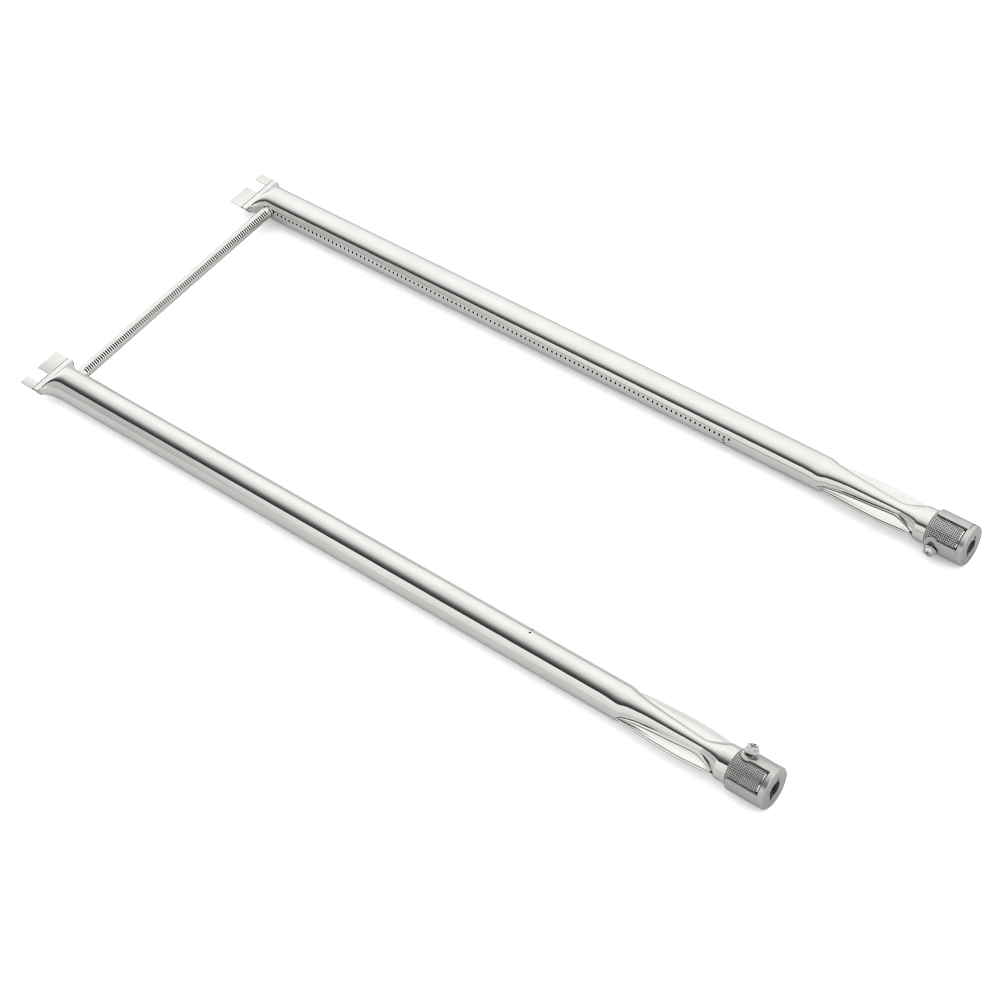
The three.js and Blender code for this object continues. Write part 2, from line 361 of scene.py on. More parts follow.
def lathe(profile, centre, name, closed):
    """Turns (x, radius) points about the line along X through centre, given as (y, z)."""
    bm = bmesh.new()
    rings = []
    for x, radius in profile:
        if radius == 0:
            rings.append([bm.verts.new((x, centre[0], centre[1]))])
            continue
        rings.append([
            bm.verts.new((x, centre[0] + y, centre[1] + z))
            for y, z in circle_outline(radius, SHUTTER_SIDES)
        ])
    pairs = list(zip(rings, rings[1:]))
    if closed:
        pairs.append((rings[-1], rings[0]))
    for a, b in pairs:
        for i in range(SHUTTER_SIDES):
            j = (i + 1) % SHUTTER_SIDES
            if len(a) == 1:
                bm.faces.new((a[0], b[i], b[j]))
            elif len(b) == 1:
                bm.faces.new((a[i], b[0], a[j]))
            else:
                bm.faces.new((a[i], b[i], b[j], a[j]))
    return from_bmesh(name, bm)


# ---- materials ----
class Nodes:
    """Short forms for building a node tree."""

    def __init__(self, material):
        self.tree = material.node_tree
        self.shader = self.tree.nodes["Principled BSDF"]

    def feed(self, socket, value):
        if isinstance(value, bpy.types.NodeSocket):
            self.tree.links.new(value, socket)
        else:
            socket.default_value = value

    def add(self, kind, **inputs):
        node = self.tree.nodes.new(kind)
        for key, value in inputs.items():
            self.feed(node.inputs[key.replace("_", " ")], value)
        return node

    def noise(self, where, stretch, detail=3.0, rough=0.55):
        """Noise in object space; stretch is its frequency per metre along X, Y and Z."""
        mapping = self.add("ShaderNodeMapping", Vector=where, Scale=stretch)
        return self.add(
            "ShaderNodeTexNoise", Vector=mapping.outputs["Vector"], Scale=1.0,
            Detail=detail, Roughness=rough,
        ).outputs["Fac"]

    def spread(self, value, low, high, start=0.3, end=0.7):
        """Maps the values from start to end onto low to high."""
        node = self.add(
            "ShaderNodeMapRange", Value=value, From_Min=start, From_Max=end, To_Min=low, To_Max=high,
        )
        return node.outputs["Result"]

    def maths(self, operation, *values):
        node = self.add("ShaderNodeMath")
        node.operation = operation
        for socket, value in zip(node.inputs, values):
            self.feed(socket, value)
        return node.outputs[0]

    def mix(self, factor, first, second):
        """Mixes two colours; the mix node's colour sockets are 6 and 7, and its result is 2."""
        node = self.add("ShaderNodeMix")
        node.data_type = "RGBA"
        self.feed(node.inputs["Factor"], factor)
        self.feed(node.inputs[6], first)
        self.feed(node.inputs[7], second)
        return node.outputs[2]


COARSE_GRAIN = 0.22  # the coarse grain's frequency as a part of the fine grain's
CLOUD_SQUEEZE = 2.4  # clouds are this much longer along X
STAIN_FREQUENCY = 420
STAIN_SHADE = 0.45


def steel(name, colour, shade, roughness, grain, cloud=35.0, bump=0.02, spots=0.0):
    """Brushed metal: fine grain stretched along one axis, with soft clouding and sparse stains.

    colour and shade are its light and dark tints, roughness its range,
    grain the grain's frequency per metre along X, Y and Z, cloud the clouding's,
    bump the grain's depth in millimetres and spots the strength of the stains.
    """
    material = bpy.data.materials.new(name)
    material.use_nodes = True
    n = Nodes(material)
    where = n.add("ShaderNodeTexCoord").outputs["Object"]
    fine = n.noise(where, grain, detail=4.0)
    coarse = n.noise(where, [frequency * COARSE_GRAIN for frequency in grain])
    stretch = (cloud, cloud * CLOUD_SQUEEZE, cloud * CLOUD_SQUEEZE)
    clouds = n.spread(n.noise(where, stretch, detail=5.0, rough=0.62), 0.0, 0.75, 0.35, 0.65)
    streak = n.maths("ADD", n.spread(fine, 0.0, 0.45), n.spread(coarse, 0.0, 0.55))
    blend = n.maths("MULTIPLY_ADD", clouds, 0.6, n.spread(streak, 0.0, 0.4, 0.0, 1.0))
    surface = n.mix(blend, (*colour, 1), (*shade, 1))
    if spots:
        stain = n.noise(where, (STAIN_FREQUENCY,) * 3, detail=2.0)
        stained = (*[level * STAIN_SHADE for level in shade], 1)
        surface = n.mix(n.spread(stain, 0.0, spots, 0.66, 0.74), surface, stained)
    n.feed(n.shader.inputs["Base Color"], surface)
    n.feed(n.shader.inputs["Roughness"], n.spread(blend, *roughness, 0.0, 0.85))
    n.shader.inputs["Metallic"].default_value = 1.0
    relief = n.add("ShaderNodeBump", Height=streak, Strength=0.35, Distance=bump * MM)
    n.feed(n.shader.inputs["Normal"], relief.outputs["Normal"])
    return material


TUBE_STEEL = steel(
    "brushed_tube_steel", colour=(0.89, 0.88, 0.86), shade=(0.78, 0.765, 0.74),
    roughness=(0.05, 0.13), grain=(60, 2400, 2400),
)
CROSS_STEEL = steel(
    "drawn_crossover_steel", colour=(0.86, 0.85, 0.83), shade=(0.72, 0.71, 0.685),
    roughness=(0.14, 0.26), grain=(2400, 60, 2400),
)
# Painted shade: near-black steel for the tubes' insides, the cut rims of their ports and slots, and the
# grooves, standing in for the shade there.
INNER_SHADE_STEEL = steel(
    "painted_shade_inner_steel", colour=(0.04, 0.039, 0.037), shade=(0.025, 0.024, 0.023),
    roughness=(0.5, 0.65), grain=(60, 900, 900),
)
# Painted shade: the tube under the wire screen is darkened, standing in for the screen's shade on it.
SHADED_STEEL = steel(
    "painted_shade_under_screen", colour=(0.33, 0.33, 0.32), shade=(0.22, 0.22, 0.215),
    roughness=(0.30, 0.45), grain=(60, 900, 900),
)
SHUTTER_STEEL = steel(
    "satin_shutter_steel", colour=(0.68, 0.68, 0.66), shade=(0.52, 0.52, 0.505),
    roughness=(0.26, 0.40), grain=(900, 500, 500), cloud=90.0, bump=0.05, spots=0.25,
)
# Painted shade: the fingers' cut edges are darkened, standing in for the shadow gap along them.
EDGE_SHADE_STEEL = steel(
    "painted_shade_cut_edge", colour=(0.22, 0.22, 0.215), shade=(0.12, 0.12, 0.117),
    roughness=(0.4, 0.55), grain=(900, 900, 900),
)
WIRE_STEEL = steel(
    "screen_wire_steel", colour=(0.95, 0.95, 0.93), shade=(0.82, 0.82, 0.80),
    roughness=(0.24, 0.36), grain=(700, 700, 700), cloud=160.0, bump=0.01,
)
SCREW_STEEL = steel(
    "plated_screw_steel", colour=(0.78, 0.78, 0.765), shade=(0.60, 0.60, 0.585),
    roughness=(0.18, 0.34), grain=(1200, 1200, 1200), cloud=260.0, bump=0.03, spots=0.35,
)


# ---- burner tube ----
# The angles of a section's columns in its first quarter: close together where the wings form.
QUARTER = [0, 3, 6, 9, 12, 15, 18, 21] + [21 + 69 * k / 17 for k in range(1, 18)]
COLUMNS = QUARTER[:-1] + [180 - a for a in QUARTER[:0:-1]]
COLUMNS = COLUMNS + [a + 180 for a in COLUMNS]
# A full-size wing's upper half, column by column: the rim, as how far in and how high, then the flat
# up to column FLAT_END, and the ramp up to the hollow round, as how far out and how high over the flat.
RIM = [
    (0, 0), (0.06, 0.45), (0.28, 0.85), (0.4, 0.97),
    (0.98, 1.46), (1.15, 1.55), (1.55, 1.55), (2.9, 1.0),
]
FLAT_END = 9
RAMP = [(1.15, 0), (1.0, 0.06), (0.22, 0.72), (0.1, 0.88)]
ROOT = 13  # the column where the wing meets the hollow round

# Material slots of the tube; the inner slot is painted shade. The stretch under the screen gets painted
# shade, but for a margin at its ends.
OUTSIDE, INNER_SHADE, SHADED = range(3)
SHADED_MARGIN = 0.5
END_FACING = 0.9  # a face whose normal is this near to X belongs to an end or to a port's rim


def round_point(half, angle):
    """A point of the pinched or round section: an oblong of constant girth."""
    straight = (GIRTH - 2 * math.pi * half) / 4
    across = math.cos(math.radians(angle))
    side = 0 if abs(across) < 1e-6 else math.copysign(straight, across)
    return side + half * across, half * math.sin(math.radians(angle))


def venturi_at(station):
    """Half height, half width and wing reach at a station, on smooth curves through the table."""
    if not VENTURI[1][0] < station < VENTURI[-2][0]:
        return VENTURI[0][1:]
    k = 1
    while k < len(VENTURI) - 3 and VENTURI[k + 1][0] < station:
        k += 1
    before, low, high, after = VENTURI[k - 1:k + 3]
    t = (station - low[0]) / (high[0] - low[0])
    values = []
    for i in (1, 2, 3):
        rise_low = (high[i] - before[i]) / (high[0] - before[0]) * (high[0] - low[0])
        rise_high = (after[i] - low[i]) / (after[0] - low[0]) * (high[0] - low[0])
        values.append(
            low[i] * (2 * t ** 3 - 3 * t ** 2 + 1) + rise_low * (t ** 3 - 2 * t ** 2 + t)
            + high[i] * (3 * t ** 2 - 2 * t ** 3) + rise_high * (t ** 3 - t ** 2)
        )
    return values


def wing_point(width, reach, flat, size, root, column):
    """A point of the wing on the section's first quarter: rim, flat, then the ramp up to the root."""
    if column < len(RIM):
        inward, rise = RIM[column]
        return reach - inward * size, rise * size
    root_y = width * math.cos(root)
    if column >= FLAT_END:
        away, rise = RAMP[column - FLAT_END]
        return root_y + away * size, flat + rise * size
    start = reach - RIM[-1][0] * size
    end = root_y + RAMP[0][0] * size
    return lerp(start, end, (column - len(RIM) + 1) / (FLAT_END - len(RIM) + 1)), flat


def throat_point(station, index):
    """A point of any section from just past the last port to the front, by its column all round."""
    height, width, reach = venturi_at(station)
    quarter = len(QUARTER) - 1
    lap, step = divmod(index, quarter)
    column = step if lap % 2 == 0 else quarter - step
    size = min(1, max(reach - width, WING_LEAST) / WING_GROWN)
    flat = WING_HALF * size
    root = math.asin((flat + RAMP_RISE * size) / height)
    winged = ease((station - WING_START) / (WING_FULL - WING_START))
    winged *= ease((WING_END - station) / (WING_END - WING_FADE))
    slid = ease((station - SLIDE_START) / (SLIDE_FULL - SLIDE_START))
    slid *= ease((SLIDE_END - station) / (SLIDE_END - WING_END))
    if column >= ROOT:
        turn = lerp(root, math.pi / 2, (column - ROOT) / (quarter - ROOT))
    else:
        turn = root * column / ROOT
    turn = lerp(math.radians(QUARTER[column]), turn, slid)
    side = lerp(lerp(width, reach, SWELL), width, winged)
    y, z = side * math.cos(turn), height * math.sin(turn)
    if column < ROOT:
        wing_y, wing_z = wing_point(width, reach, flat, size, root, column)
        y, z = lerp(y, wing_y, winged), lerp(z, wing_z, winged)
    return (y if lap in (0, 3) else -y), (z if lap < 2 else -z)


def tube_half_height(x):
    if x <= PINCH_X:
        return PINCH_HALF
    opened = 1 - (1 - min((x - PINCH_X) / (ROUND_X - PINCH_X), 1)) ** OPENING_POWER
    return lerp(PINCH_HALF, TUBE_R, opened)


def groove_distance(x):
    return min(abs(x - groove) for groove in GROOVES)


def tube_point(x, index):
    station = x - CROSS_X
    if station > SLIDE_START:
        return throat_point(station, index)
    y, z = round_point(tube_half_height(x), COLUMNS[index])
    if groove_distance(x) < GROOVE_HALF / 2:
        return y, z * (1 - GROOVE_DEPTH / PINCH_HALF)
    # The folded sheet bulges at each side, just in front of the pinch.
    bulge = FOLD_RISE * ease(1 - abs(x - PINCH_X - FOLD_AHEAD) / FOLD_REACH)
    fold = abs(math.cos(math.radians(COLUMNS[index]))) ** FOLD_POWER
    return y, z + math.copysign(bulge * fold * min(1, abs(z)), z)


def spaced(start, end, step):
    """Even places from start to just before end, about a step apart."""
    count = max(1, round((end - start) / step))
    return [lerp(start, end, k / count) for k in range(count)]


def tube_surface():
    """The burner's outer surface, with its row of ports left open."""
    first_port = PORT_FIRST - PORT_PITCH / 2
    last_port = first_port + PORT_COUNT * PORT_PITCH
    stations = [x for x in spaced(REAR_X, first_port, REAR_STEP) if groove_distance(x) > 2 * GROOVE_HALF]
    stations += [groove + step for groove in GROOVES for step in (-GROOVE_HALF, 0, GROOVE_HALF)]
    stations.sort()
    port_start = len(stations)
    stations += spaced(first_port, last_port, PORT_PITCH / 2)
    port_end = len(stations)
    first, last = CROSS_X + VENTURI[1][0], CROSS_X + VENTURI[-2][0]
    stations += spaced(last_port, first, PLAIN_STEP) + spaced(first, last, VENTURI_STEP)
    stations += spaced(last, SCREEN_LOW.x, FRONT_STEP) + spaced(SCREEN_LOW.x, SCREEN_HIGH.x, SCREEN_STEP)
    stations += [SCREEN_HIGH.x, TUBE_FRONT_X]

    low, high = [COLUMNS.index(angle) for angle in PORT_CELL]
    bm = bmesh.new()
    grid = []
    for row, x in enumerate(stations):
        in_port = port_start < row < port_end and (row - port_start) % 2 == 1
        ring = []
        for index in range(len(COLUMNS)):
            if in_port and low < index < high:
                ring.append(None)
                continue
            y, z = tube_point(x, index)
            ring.append(bm.verts.new((x, y, z)))
        grid.append(ring)

    for row in range(len(stations) - 1):
        in_cell = port_start <= row < port_end
        for index in range(len(COLUMNS)):
            if in_cell and low <= index < high:
                continue
            after = (index + 1) % len(COLUMNS)
            a, b = grid[row], grid[row + 1]
            bm.faces.new((a[index], b[index], b[after], a[after]))
    for row in range(port_start, port_end, 2):
        add_port(bm, grid, stations, row, low, high)
    return bm


def add_port(bm, grid, stations, row, low, high):
    """Fills one cell of the port row with an oval hole and the metal round it."""
    border = [grid[row][k] for k in range(low, high + 1)]
    border += [grid[row + 1][high]]
    border += [grid[row + 2][k] for k in range(high, low - 1, -1)]
    border += [grid[row + 1][low]]
    x = stations[row + 1]
    half = tube_half_height(x)
    centre = round_point(half, PORT_ANGLE)
    rim = []
    for vert in border:
        across = vert.co.x - x
        around = math.copysign(1, vert.co.z - centre[1]) * math.dist(vert.co.yz, centre)
        turn = math.atan2(around, across)
        spread = math.degrees(PORT_AROUND * math.sin(turn) / half)
        y, z = round_point(half, PORT_ANGLE + spread)
        rim.append(bm.verts.new((x + PORT_ALONG * math.cos(turn), y, z)))
    for k in range(len(border)):
        j = (k + 1) % len(border)
        bm.faces.new((border[k], border[j], rim[j], rim[k]))


def dish(bm):
    """Presses the metal in a little round the crossover's hole."""
    for vert in bm.verts:
        if vert.co.y <= 0:
            continue
        away = math.hypot(vert.co.x - CROSS_X, vert.co.z)
        vert.co.y -= DISH_DEPTH * ease(1 - (away - DISH_R) / DISH_BLEND)


def add_tab(bm, inner, outer):
    """One flat tab out of the pinched rear end, with rounded rear corners."""
    start = REAR_X + TAB_OVERLAP
    corner_x = REAR_TAB_X + TAB_CORNER
    outline = [(start, outer), (start, inner)]
    outline += arc((corner_x, inner - TAB_CORNER), TAB_CORNER, math.pi / 2, math.pi, steps=4)
    outline += arc((corner_x, outer + TAB_CORNER), TAB_CORNER, math.pi, 1.5 * math.pi, steps=4)
    add_prism(bm, outline, lambda u, v, depth: Vector((u, v, depth)), -TAB_HALF, TAB_HALF)


def settle(bm, spec, axis_y):
    """Mirrors a burner's mesh to its own side and moves it to the burner's axis."""
    bmesh.ops.scale(bm, vec=(1, spec["inward"], 1), verts=bm.verts)
    bmesh.ops.translate(bm, vec=(0, axis_y, AXIS_Z), verts=bm.verts)


def tube_cutters(side, spec, axis_y):
    """Every hole that is cut through the tube's wall, as one tool."""
    bm = bmesh.new()
    inner = 0 if spec["inward"] > 0 else 180
    # Each round hole: station, angle, radius, cut from and to these distances off the axis, sides.
    holes = [
        (0, inner, CROSS_HOLE_R, 5, 30, 48),
        (SCREW_X - CROSS_X, spec["screw"], SCREW_HOLE_R, 10, 15, 24),
    ]
    holes += [(station, angle, PIN_HOLE_R, 9, 15, 16) for station, angle in spec["pins"]]
    for station, angle, radius, start, end, sides in holes:
        place = radial_frame(axis_y, angle, CROSS_X + station)
        add_prism(bm, circle_outline(radius, sides), place, start, end)
    window = rectangle(WINDOW_HALF_ALONG, WINDOW_HALF_ROUND)
    for k in range(FINGER_COUNT):
        angle = spec["finger"] + WINDOW_TURN + FINGER_TURN * k
        add_prism(bm, window, radial_frame(axis_y, angle, CROSS_X + WINDOW_STATION), *WINDOW_CUT)
    return from_bmesh(f"{side}_cutters", bm)


def tube_slot(face):
    """The material slot of a face of the thickened tube."""
    x = face.center.x / MM
    slot = face.material_index
    near_ports = PORT_FIRST - PORT_PITCH < x < PORT_FIRST + PORT_COUNT * PORT_PITCH
    if abs(face.normal.x) > END_FACING and not near_ports:
        slot = OUTSIDE
    # The grooves get the inner slot's painted shade.
    if groove_distance(x) < GROOVE_HALF:
        slot = INNER_SHADE
    # Under the screen the outside gets painted shade.
    under_screen = SCREEN_LOW.x + SHADED_MARGIN < x < SCREEN_HIGH.x - SHADED_MARGIN
    if under_screen and slot == OUTSIDE:
        slot = SHADED
    return slot


def burner_tube(side, spec):
    axis_y = middle(f"{side}_spider_screen").y
    bm = tube_surface()
    dish(bm)
    settle(bm, spec, axis_y)
    tube = from_bmesh(f"{side}_tube", bm)
    # The inside and the port rims get painted shade, and so does the stretch under the screen.
    for material in (TUBE_STEEL, INNER_SHADE_STEEL, SHADED_STEEL):
        tube.data.materials.append(material)
    thicken(tube, TUBE_WALL)
    for face in tube.data.polygons:
        face.material_index = tube_slot(face)
    boolean(tube, tube_cutters(side, spec, axis_y), "DIFFERENCE")
    smooth(tube.data)

    tabs = bmesh.new()
    add_tab(tabs, *LARGE_TAB)
    add_tab(tabs, *SMALL_TAB)
    settle(tabs, spec, axis_y)
    tab_piece = from_bmesh(f"{side}_rear_tabs", tabs)
    round_edges(tab_piece, TAB_BEVEL)
    tab_piece.data.materials.append(CROSS_STEEL)
    for piece in (tube, tab_piece):
        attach(piece, f"{side}_burner")
    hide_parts(f"{side}_burner_tube")


# ---- crossover tube ----
def crossover():
    half = (CROSS_HIGH.y - CROSS_LOW.y) / 2
    slot_edges = []
    for k in range(SLOT_COUNT):
        y = (k - (SLOT_COUNT - 1) / 2) * SLOT_PITCH
        slot_edges += [y - SLOT_WIDTH / 2, y + SLOT_WIDTH / 2]
    stations = spaced(-half, slot_edges[0], CROSS_STEP) + slot_edges
    stations += spaced(slot_edges[-1] + CROSS_STEP / 2, half, CROSS_STEP) + [half]
    columns = [SLOT_ANGLE + turn for turn in SLOT_TURNS]
    slot_end = columns[-1]
    plain_span = 360 - (SLOT_TURNS[-1] - SLOT_TURNS[0])
    columns += [slot_end + plain_span * k / PLAIN_COLUMNS for k in range(1, PLAIN_COLUMNS)]

    def point(y, angle):
        turn = math.radians(angle)
        return CROSS_X + CROSS_R * math.cos(turn), CROSS.y + y, AXIS_Z + CROSS_R * math.sin(turn)

    bm = bmesh.new()
    grid = [[bm.verts.new(point(y, angle)) for angle in columns] for y in stations]
    first_slot = stations.index(slot_edges[0])
    for row in range(len(stations) - 1):
        step = row - first_slot
        open_row = 0 <= step < 2 * SLOT_COUNT and step % 2 == 0
        for index in range(len(columns)):
            if open_row and index < len(SLOT_TURNS) - 1:
                continue
            after = (index + 1) % len(columns)
            a, b = grid[row], grid[row + 1]
            bm.faces.new((a[index], a[after], b[after], b[index]))
    piece = from_bmesh("crossover_sleeve", bm)
    # The inside and the slots' rims get painted shade.
    for material in (CROSS_STEEL, INNER_SHADE_STEEL):
        piece.data.materials.append(material)
    thicken(piece, CROSS_WALL)
    smooth(piece.data)
    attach(piece, "crossover")
    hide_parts("crossover_tube")


# ---- wire screen ----
def add_wire(bm, points, closed):
    """A thin four-sided wire along points, each given with its outward direction and its course."""
    rings = []
    for point, out, along in points:
        side = out.cross(along)
        steps = [out, side, -out, -side]
        rings.append([bm.verts.new(point + step * WIRE_R) for step in steps])
    pairs = list(zip(rings, rings[1:]))
    if closed:
        pairs.append((rings[-1], rings[0]))
    for a, b in pairs:
        join_rings(bm, a, b)


def wire_screen(side):
    """Plain-woven cloth: wires along the burner and hoops round it, each over and under the others."""
    centre = middle(f"{side}_spider_screen")
    low, high = corners(f"{side}_spider_screen")
    hoops = 2 * round((high.x - low.x) / WIRE_PITCH / 2)
    pitch = (high.x - low.x - 2 * WIRE_R) / (hoops - 1)
    start = low.x + WIRE_R
    step = 2 * math.pi / WIRES_ROUND
    bm = bmesh.new()

    def spot(x, turn, lift):
        out = Vector((0, math.cos(turn), math.sin(turn)))
        return Vector((x, centre.y, AXIS_Z)) + out * (SCREEN_R + lift), out

    for i in range(WIRES_ROUND):
        points = []
        for k in range(2 * hoops - 1):
            lift = 0 if k % 2 else WIRE_LIFT * (-1) ** (i + k // 2)
            points.append((*spot(start + k * pitch / 2, i * step, lift), Vector((1, 0, 0))))
        add_wire(bm, points, False)
    for j in range(hoops):
        points = []
        for k in range(2 * WIRES_ROUND):
            turn = k * step / 2
            lift = 0 if k % 2 else -WIRE_LIFT * (-1) ** (j + k // 2)
            along = Vector((0, -math.sin(turn), math.cos(turn)))
            points.append((*spot(start + j * pitch, turn, lift), along))
        add_wire(bm, points, True)
    piece = from_bmesh(f"{side}_screen_weave", bm, sharp=WIRE_SHARP_ANGLE)
    piece.data.materials.append(WIRE_STEEL)
    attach(piece, f"{side}_burner")
    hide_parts(f"{side}_spider_screen")


# ---- air shutter ----
def oblong(half_round, half_along):
    """A round-ended oblong, long round the tube, about the screw's station."""
    reach = half_round - half_along
    upper = arc((0, reach), half_along, 0, math.pi, steps=14)
    return upper + arc((0, -reach), half_along, math.pi, 2 * math.pi, steps=14)


def finger_outline(with_eye):
    """One finger: straight sides and a rear end with round corners or a wide round-ended eye."""
    front = CUP_REAR_X + FINGER_OVERLAP - SCREW_X
    if with_eye:
        radius = EYE_HALF_ALONG
        rear = 0
        half = EYE_HALF_ROUND - radius
        meet = math.asin((FINGER_HALF - half) / radius)
    else:
        radius = FINGER_CORNER
        rear = FINGER_REAR - SCREW_X + radius
        half = FINGER_HALF - radius
        meet = math.pi / 2
    outline = [(front, -FINGER_HALF), (front, FINGER_HALF)]
    outline += arc((rear, half), radius, meet, math.pi, steps=12)
    return outline + arc((rear, -half), radius, math.pi, 2 * math.pi - meet, steps=12)


def orifice_outline():
    """A round hole with two opposed lobes, as distance from the centre by direction."""
    lean = math.radians(LOBE_LEAN)
    points = []
    for k in range(ORIFICE_SIDES):
        turn = 2 * math.pi * k / ORIFICE_SIDES
        offset = math.atan2(math.sin(2 * (turn - lean)), math.cos(2 * (turn - lean))) / 2
        away = LOBE_REACH * math.sin(offset)
        size = ORIFICE_R
        if abs(away) < LOBE_R:
            size = max(size, LOBE_REACH * math.cos(offset) + math.sqrt(LOBE_R * LOBE_R - away * away))
        points.append((size * math.cos(turn), size * math.sin(turn)))
    return points


def shutter_sleeve(centre, name):
    """The plain sleeve that a finger is cut from."""
    rear, front = FINGER_REAR - FINGER_SPARE, CUP_REAR_X + FINGER_OVERLAP
    profile = [(rear, SHUTTER_R), (front, SHUTTER_R), (front, SHUTTER_BORE), (rear, SHUTTER_BORE)]
    return lathe(profile, centre, name, closed=True)


def shutter_cup(centre, name):
    back = FACE_X - FACE_WALL
    profile = [(FACE_X, 0)]
    profile += arc((FACE_X - CUP_EDGE, SHUTTER_R - CUP_EDGE), CUP_EDGE, 0, math.pi / 2, steps=6)
    profile += [(CUP_REAR_X, SHUTTER_R), (CUP_REAR_X, SHUTTER_BORE)]
    profile += [(back - FACE_FILLET, SHUTTER_BORE), (back, SHUTTER_BORE - FACE_FILLET), (back, 0)]
    return lathe(profile, centre, name, closed=False)


def air_shutter(side, spec):
    axis = (middle(f"{side}_spider_screen").y, AXIS_Z)
    shutter = shutter_cup(axis, f"{side}_shutter_cap")
    for k in range(FINGER_COUNT):
        with_eye = k == 0
        place = radial_frame(axis[0], spec["finger"] + FINGER_TURN * k, SCREW_X)
        finger = shutter_sleeve(axis, f"{side}_finger_{k}")
        boolean(finger, prism(finger_outline(with_eye), place, *FINGER_CUT, "finger_tool"), "INTERSECT")
        if with_eye:
            slot = oblong(EYE_SLOT_ROUND, EYE_SLOT_ALONG)
            boolean(finger, prism(slot, place, *EYE_SLOT_CUT, "slot_tool"), "DIFFERENCE")
        boolean(shutter, finger, "UNION")

    def on_face(u, v, depth):
        return Vector((FACE_X + depth, axis[0] + u, axis[1] + v))

    boolean(shutter, prism(orifice_outline(), on_face, *ORIFICE_CUT, "orifice_tool"), "DIFFERENCE")
    round_edges(shutter, SHUTTER_BEVEL)
    for material in (SHUTTER_STEEL, EDGE_SHADE_STEEL):
        shutter.data.materials.append(material)
    # The fingers' cut edges get painted shade.
    for face in shutter.data.polygons:
        x, y, z = face.center / MM
        depth = math.hypot(y - axis[0], z - axis[1])
        if x < FACE_X - EDGE_BEHIND_FACE and abs(depth - (SHUTTER_R + SHUTTER_BORE) / 2) < EDGE_BAND:
            face.material_index = 1
    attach(shutter, f"{side}_shutter")
    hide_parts(f"{side}_air_shutter")


# ---- shutter screw ----
def turned(profile, place, name):
    """A solid turned about the screw's axis, from (depth, radius) points."""
    bm = bmesh.new()
    rings = [
        [bm.verts.new(place(u, v, depth)) for u, v in circle_outline(radius, SCREW_SIDES)]
        for depth, radius in profile
    ]
    bm.faces.new(rings[0][::-1])
    bm.faces.new(rings[-1])
    for a, b in zip(rings, rings[1:]):
        join_rings(bm, a, b)
    return from_bmesh(name, bm)


def shutter_screw(side, spec):
    """A hex washer head screw with a cross recess and a domed top."""
    axis_y = middle(f"{side}_spider_screen").y
    place = radial_frame(axis_y, spec["screw"], SCREW_X)
    seat = SHUTTER_R + spec["lift"]
    top = seat + HEAD_HEIGHT
    shank = [(SHANK_TIP, SHANK_R - SHANK_CHAMFER), (SHANK_TIP + SHANK_CHAMFER, SHANK_R), (seat, SHANK_R)]
    washer = [(seat + height, radius) for height, radius in WASHER]
    screw = turned(shank + washer, place, f"{side}_screw_head")

    hex_radius = HEX_HALF / math.cos(math.pi / 6)
    head = prism(circle_outline(hex_radius, 6), place, seat + HEX_FOOT, top, "hex_tool")
    round_edges(head, HEX_BEVEL)
    wide = hex_radius + DOME_SPARE
    dome = [(seat, wide), (top - DOME_DROP, wide), (top, hex_radius - DOME_INSET)]
    boolean(head, turned(dome, place, "dome_tool"), "INTERSECT")
    boolean(screw, head, "UNION")
    recess = rectangle(RECESS_HALF_LENGTH, RECESS_HALF_WIDTH)
    crossed = [(v, u) for u, v in recess]
    for outline in (recess, crossed):
        tool = prism(outline, place, top - RECESS_DEPTH, top + 1, "recess_tool")
        boolean(screw, tool, "DIFFERENCE")
    round_edges(screw, SCREW_BEVEL)
    screw.data.materials.append(SCREW_STEEL)
    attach(screw, f"{side}_screw")
    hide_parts(f"{side}_shutter_screw")


# ---- floor, light and camera, in metres ----
WORLD_STRENGTH = 1.6
LAMP_POWER = 22
LAMP_SIZE = 3.0
LAMP_PLACE = (0.0, -0.3, 1.9)
FLOOR_HALF = 6.0
FLOOR_ALBEDO = 0.9
MIRRORED_HEIGHT = 0.0002
MIRRORED_ALBEDO = 0.35

# The light tent's section across the burners: y, z and brightness, from the floor in front up to
# the edge of the front card, over the dark gap that the camera looks through, along the soft
# overhead sheet and down behind.
TENT = [
    (-0.80, -0.02, 0.80), (-0.70, 0.15, 0.86), (-0.60, 0.30, 0.92), (-0.534, 0.398, 0.98),
    (-0.533, 0.400, 0.045), (-0.50, 0.47, 0.045), (-0.43, 0.47, 0.06), (-0.37, 0.47, 0.11),
    (-0.30, 0.47, 0.20), (-0.256, 0.47, 0.33), (-0.21, 0.47, 0.47), (-0.155, 0.47, 0.665),
    (-0.10, 0.47, 0.79), (-0.03, 0.47, 0.89), (0.06, 0.47, 1.0), (0.20, 0.47, 1.1),
    (0.50, 0.45, 1.08), (0.90, 0.35, 1.0), (1.20, 0.15, 0.93), (1.30, -0.02, 0.85),
]
TENT_SPANS = [-2.5, -0.75, -0.65, -0.55, -0.45, -0.35, 0.5, 2.5]
CARD_Y = -0.53  # the front card lies in front of this
CARD_DIM = 0.4  # it loses this much of its brightness past the burners' rear ends
CARD_DIM_FROM = -0.33
CARD_DIM_OVER = 0.3

LENS = 84.326
SENSOR = 36
NEAR_CLIP = 0.05
CAMERA_FROM_CROSSOVER = 1.09305
CAMERA_Y = -0.78487
CAMERA_Z = 1.25963
CAMERA_TURN = (40.3153, 5.5603, 38.2559)


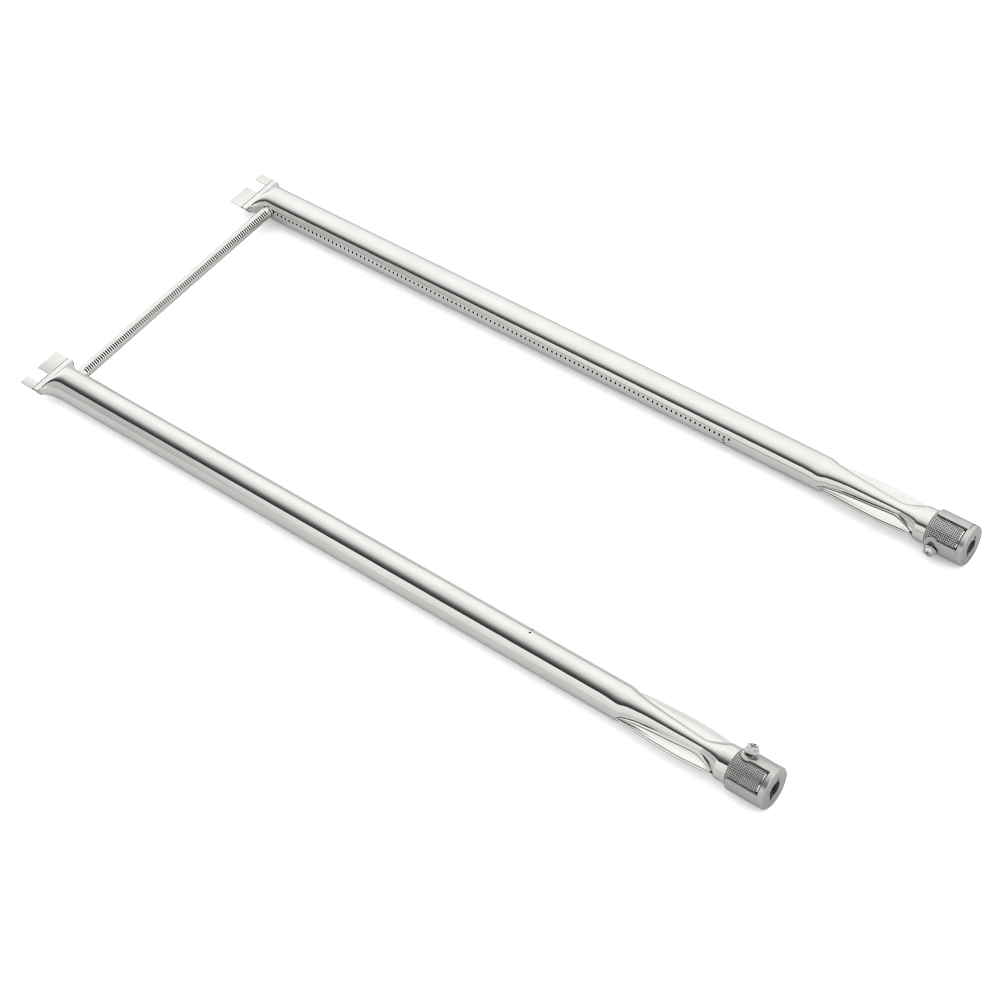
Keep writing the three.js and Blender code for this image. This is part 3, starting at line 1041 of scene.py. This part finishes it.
def floor(name, height, albedo):
    """A plain matt floor."""
    bm = bmesh.new()
    bmesh.ops.create_grid(bm, x_segments=2, y_segments=2, size=FLOOR_HALF)
    bmesh.ops.translate(bm, vec=(0, 0, height), verts=bm.verts)
    data = bpy.data.meshes.new(name)
    bm.to_mesh(data)
    bm.free()
    plane = new_object(name, data)
    material = bpy.data.materials.new(name)
    material.use_nodes = True
    shader = material.node_tree.nodes["Principled BSDF"]
    shader.inputs["Base Color"].default_value = (albedo, albedo, albedo, 1)
    shader.inputs["Roughness"].default_value = 1.0
    shader.inputs["Specular IOR Level"].default_value = 0.0
    data.materials.append(material)
    return plane


def only_in_reflections(piece):
    piece.visible_camera = False
    piece.visible_diffuse = False
    piece.visible_shadow = False


def glow_material():
    """A plain emitter whose brightness is the mesh's glow attribute."""
    material = bpy.data.materials.new("tent_glow")
    material.use_nodes = True
    tree = material.node_tree
    tree.nodes.clear()
    source = tree.nodes.new("ShaderNodeAttribute")
    source.attribute_name = "glow"
    emission = tree.nodes.new("ShaderNodeEmission")
    output = tree.nodes.new("ShaderNodeOutputMaterial")
    tree.links.new(source.outputs["Color"], emission.inputs["Color"])
    tree.links.new(emission.outputs["Emission"], output.inputs["Surface"])
    material.cycles.emission_sampling = "NONE"
    return material


def tent():
    """A glowing sheet round the burners that only their reflections see."""
    bm = bmesh.new()
    rows = []
    levels = []
    for x in TENT_SPANS:
        card = 1 - CARD_DIM * ease((CARD_DIM_FROM - x) / CARD_DIM_OVER)
        rows.append([bm.verts.new((x, y, z)) for y, z, _ in TENT])
        levels += [level * (card if y < CARD_Y else 1) for y, _, level in TENT]
    for a, b in zip(rows, rows[1:]):
        for k in range(len(TENT) - 1):
            bm.faces.new((a[k], b[k], b[k + 1], a[k + 1]))
    data = bpy.data.meshes.new("light_tent")
    bm.to_mesh(data)
    bm.free()
    glow = data.color_attributes.new("glow", "FLOAT_COLOR", "POINT")
    for item, level in zip(glow.data, levels):
        item.color = (level, level, level, 1)
    sheet = new_object("light_tent", data)
    data.materials.append(glow_material())
    only_in_reflections(sheet)


def studio():
    world = bpy.data.worlds.new("studio")
    bpy.context.scene.world = world
    world.use_nodes = True
    background = world.node_tree.nodes["Background"]
    background.inputs["Color"].default_value = (1, 1, 1, 1)
    background.inputs["Strength"].default_value = WORLD_STRENGTH
    lamp_data = bpy.data.lights.new("overhead_light", "AREA")
    lamp_data.energy = LAMP_POWER
    lamp_data.size = LAMP_SIZE
    lamp = new_object("overhead_light", lamp_data)
    lamp.location = LAMP_PLACE
    lamp.visible_glossy = False
    tent()
    floor("pale_floor", 0.0, FLOOR_ALBEDO)
    only_in_reflections(floor("reflected_floor", MIRRORED_HEIGHT, MIRRORED_ALBEDO))


def camera():
    data = bpy.data.cameras.new("camera")
    data.lens = LENS
    data.sensor_width = SENSOR
    data.clip_start = NEAR_CLIP
    view = new_object("camera", data)
    view.location = (CROSS_X * MM + CAMERA_FROM_CROSSOVER, CAMERA_Y, CAMERA_Z)
    view.rotation_euler = [math.radians(angle) for angle in CAMERA_TURN]
    bpy.context.scene.camera = view


camera()
studio()
for burner_side, burner_spec in BURNERS.items():
    burner_tube(burner_side, burner_spec)
    wire_screen(burner_side)
    air_shutter(burner_side, burner_spec)
    shutter_screw(burner_side, burner_spec)
crossover()
bpy.context.scene.view_settings.view_transform = "Standard"
# A narrow filter keeps the slots and the weave sharp.
bpy.context.scene.cycles.filter_width = 1.0
